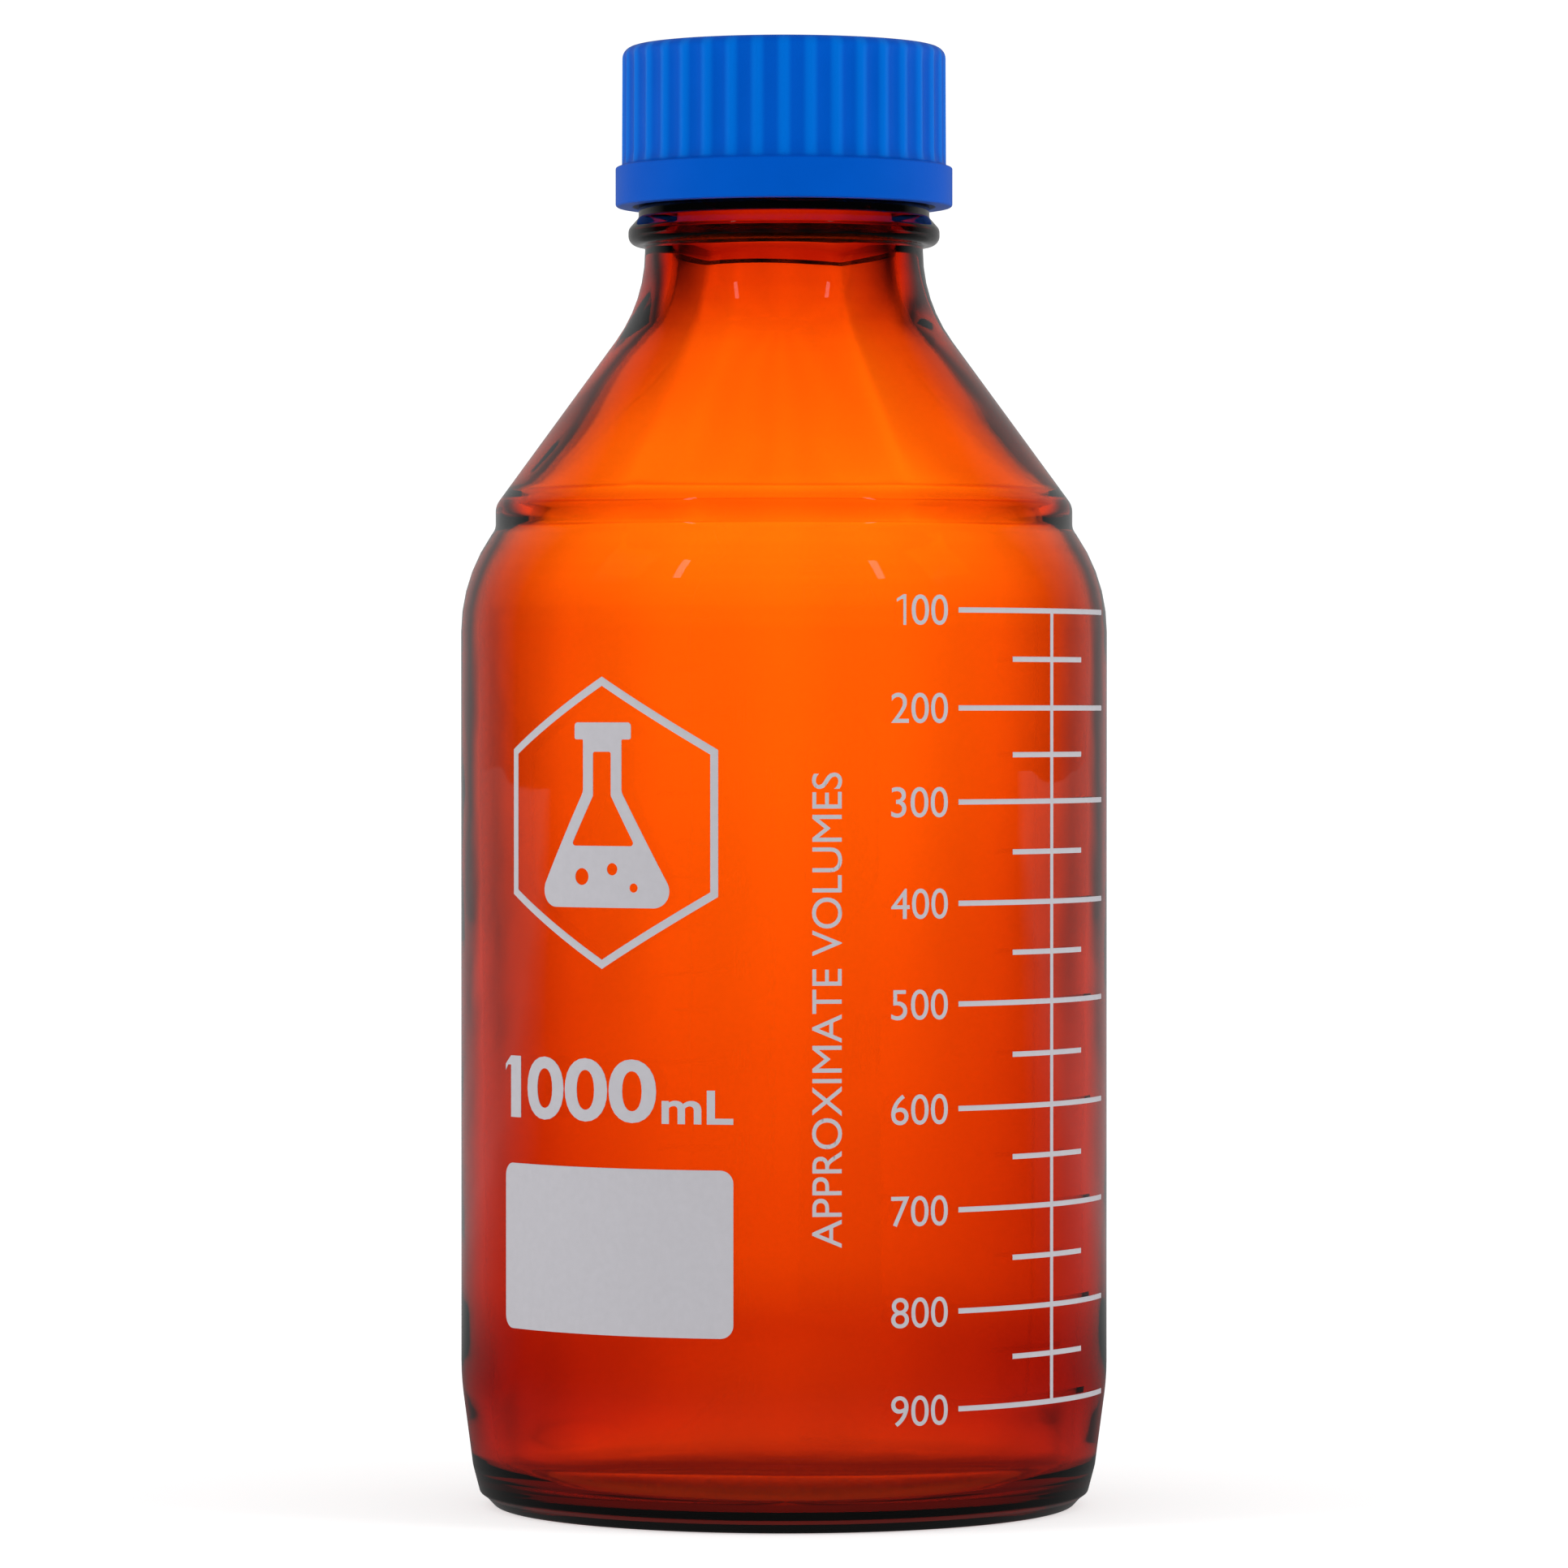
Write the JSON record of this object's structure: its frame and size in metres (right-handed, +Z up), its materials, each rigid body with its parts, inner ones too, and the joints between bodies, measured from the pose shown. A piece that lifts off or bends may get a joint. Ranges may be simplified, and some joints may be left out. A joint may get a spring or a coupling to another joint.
{
  "type": "laboratory storage bottle",
  "caption": "Amber borosilicate laboratory bottle with a conical shoulder, printed volume scale, write-on field and a blue ribbed screw cap over a pouring ring.",
  "frame": {"origin": "middle of the foot ring, on the surface that the bottle stands on", "axes": "+Z up the bottle's axis, -Y towards a person who reads the printed face, +X to that person's right"},
  "size_m": [0.101, 0.101, 0.2279],
  "materials": {
    "amber_glass": "clear amber borosilicate glass, fire polished",
    "blue_cap_plastic": "moulded polypropylene, satin",
    "blue_ring_plastic": "moulded polypropylene, satin",
    "white_enamel": "fired-on ceramic enamel, matt"
  },
  "bodies": {
    "bottle": {"bottle": "amber_glass", "graduation_scale": "white_enamel", "marking_spot": "white_enamel", "emblem_frame": "white_enamel", "emblem_flask": "white_enamel"},
    "ring": {"pouring_ring": "blue_ring_plastic"},
    "cap": {"screw_cap": "blue_cap_plastic"}
  },
  "joints": [
    {"name": "cap_turn", "type": "hinge", "parent": "bottle", "child": "ring", "pos_m": [0, 0, 0.2238], "axis": [0, 0, 1], "range_deg": [0, 2520]},
    {"name": "cap_rise", "type": "slide", "parent": "ring", "child": "cap", "axis": [0, 0, 1], "range_m": [0, 0.02801]}
  ],
  "couplings": [
    {"joint": "cap_rise", "follows": "cap_turn", "m_per_rad": 0.00063662}
  ]
}
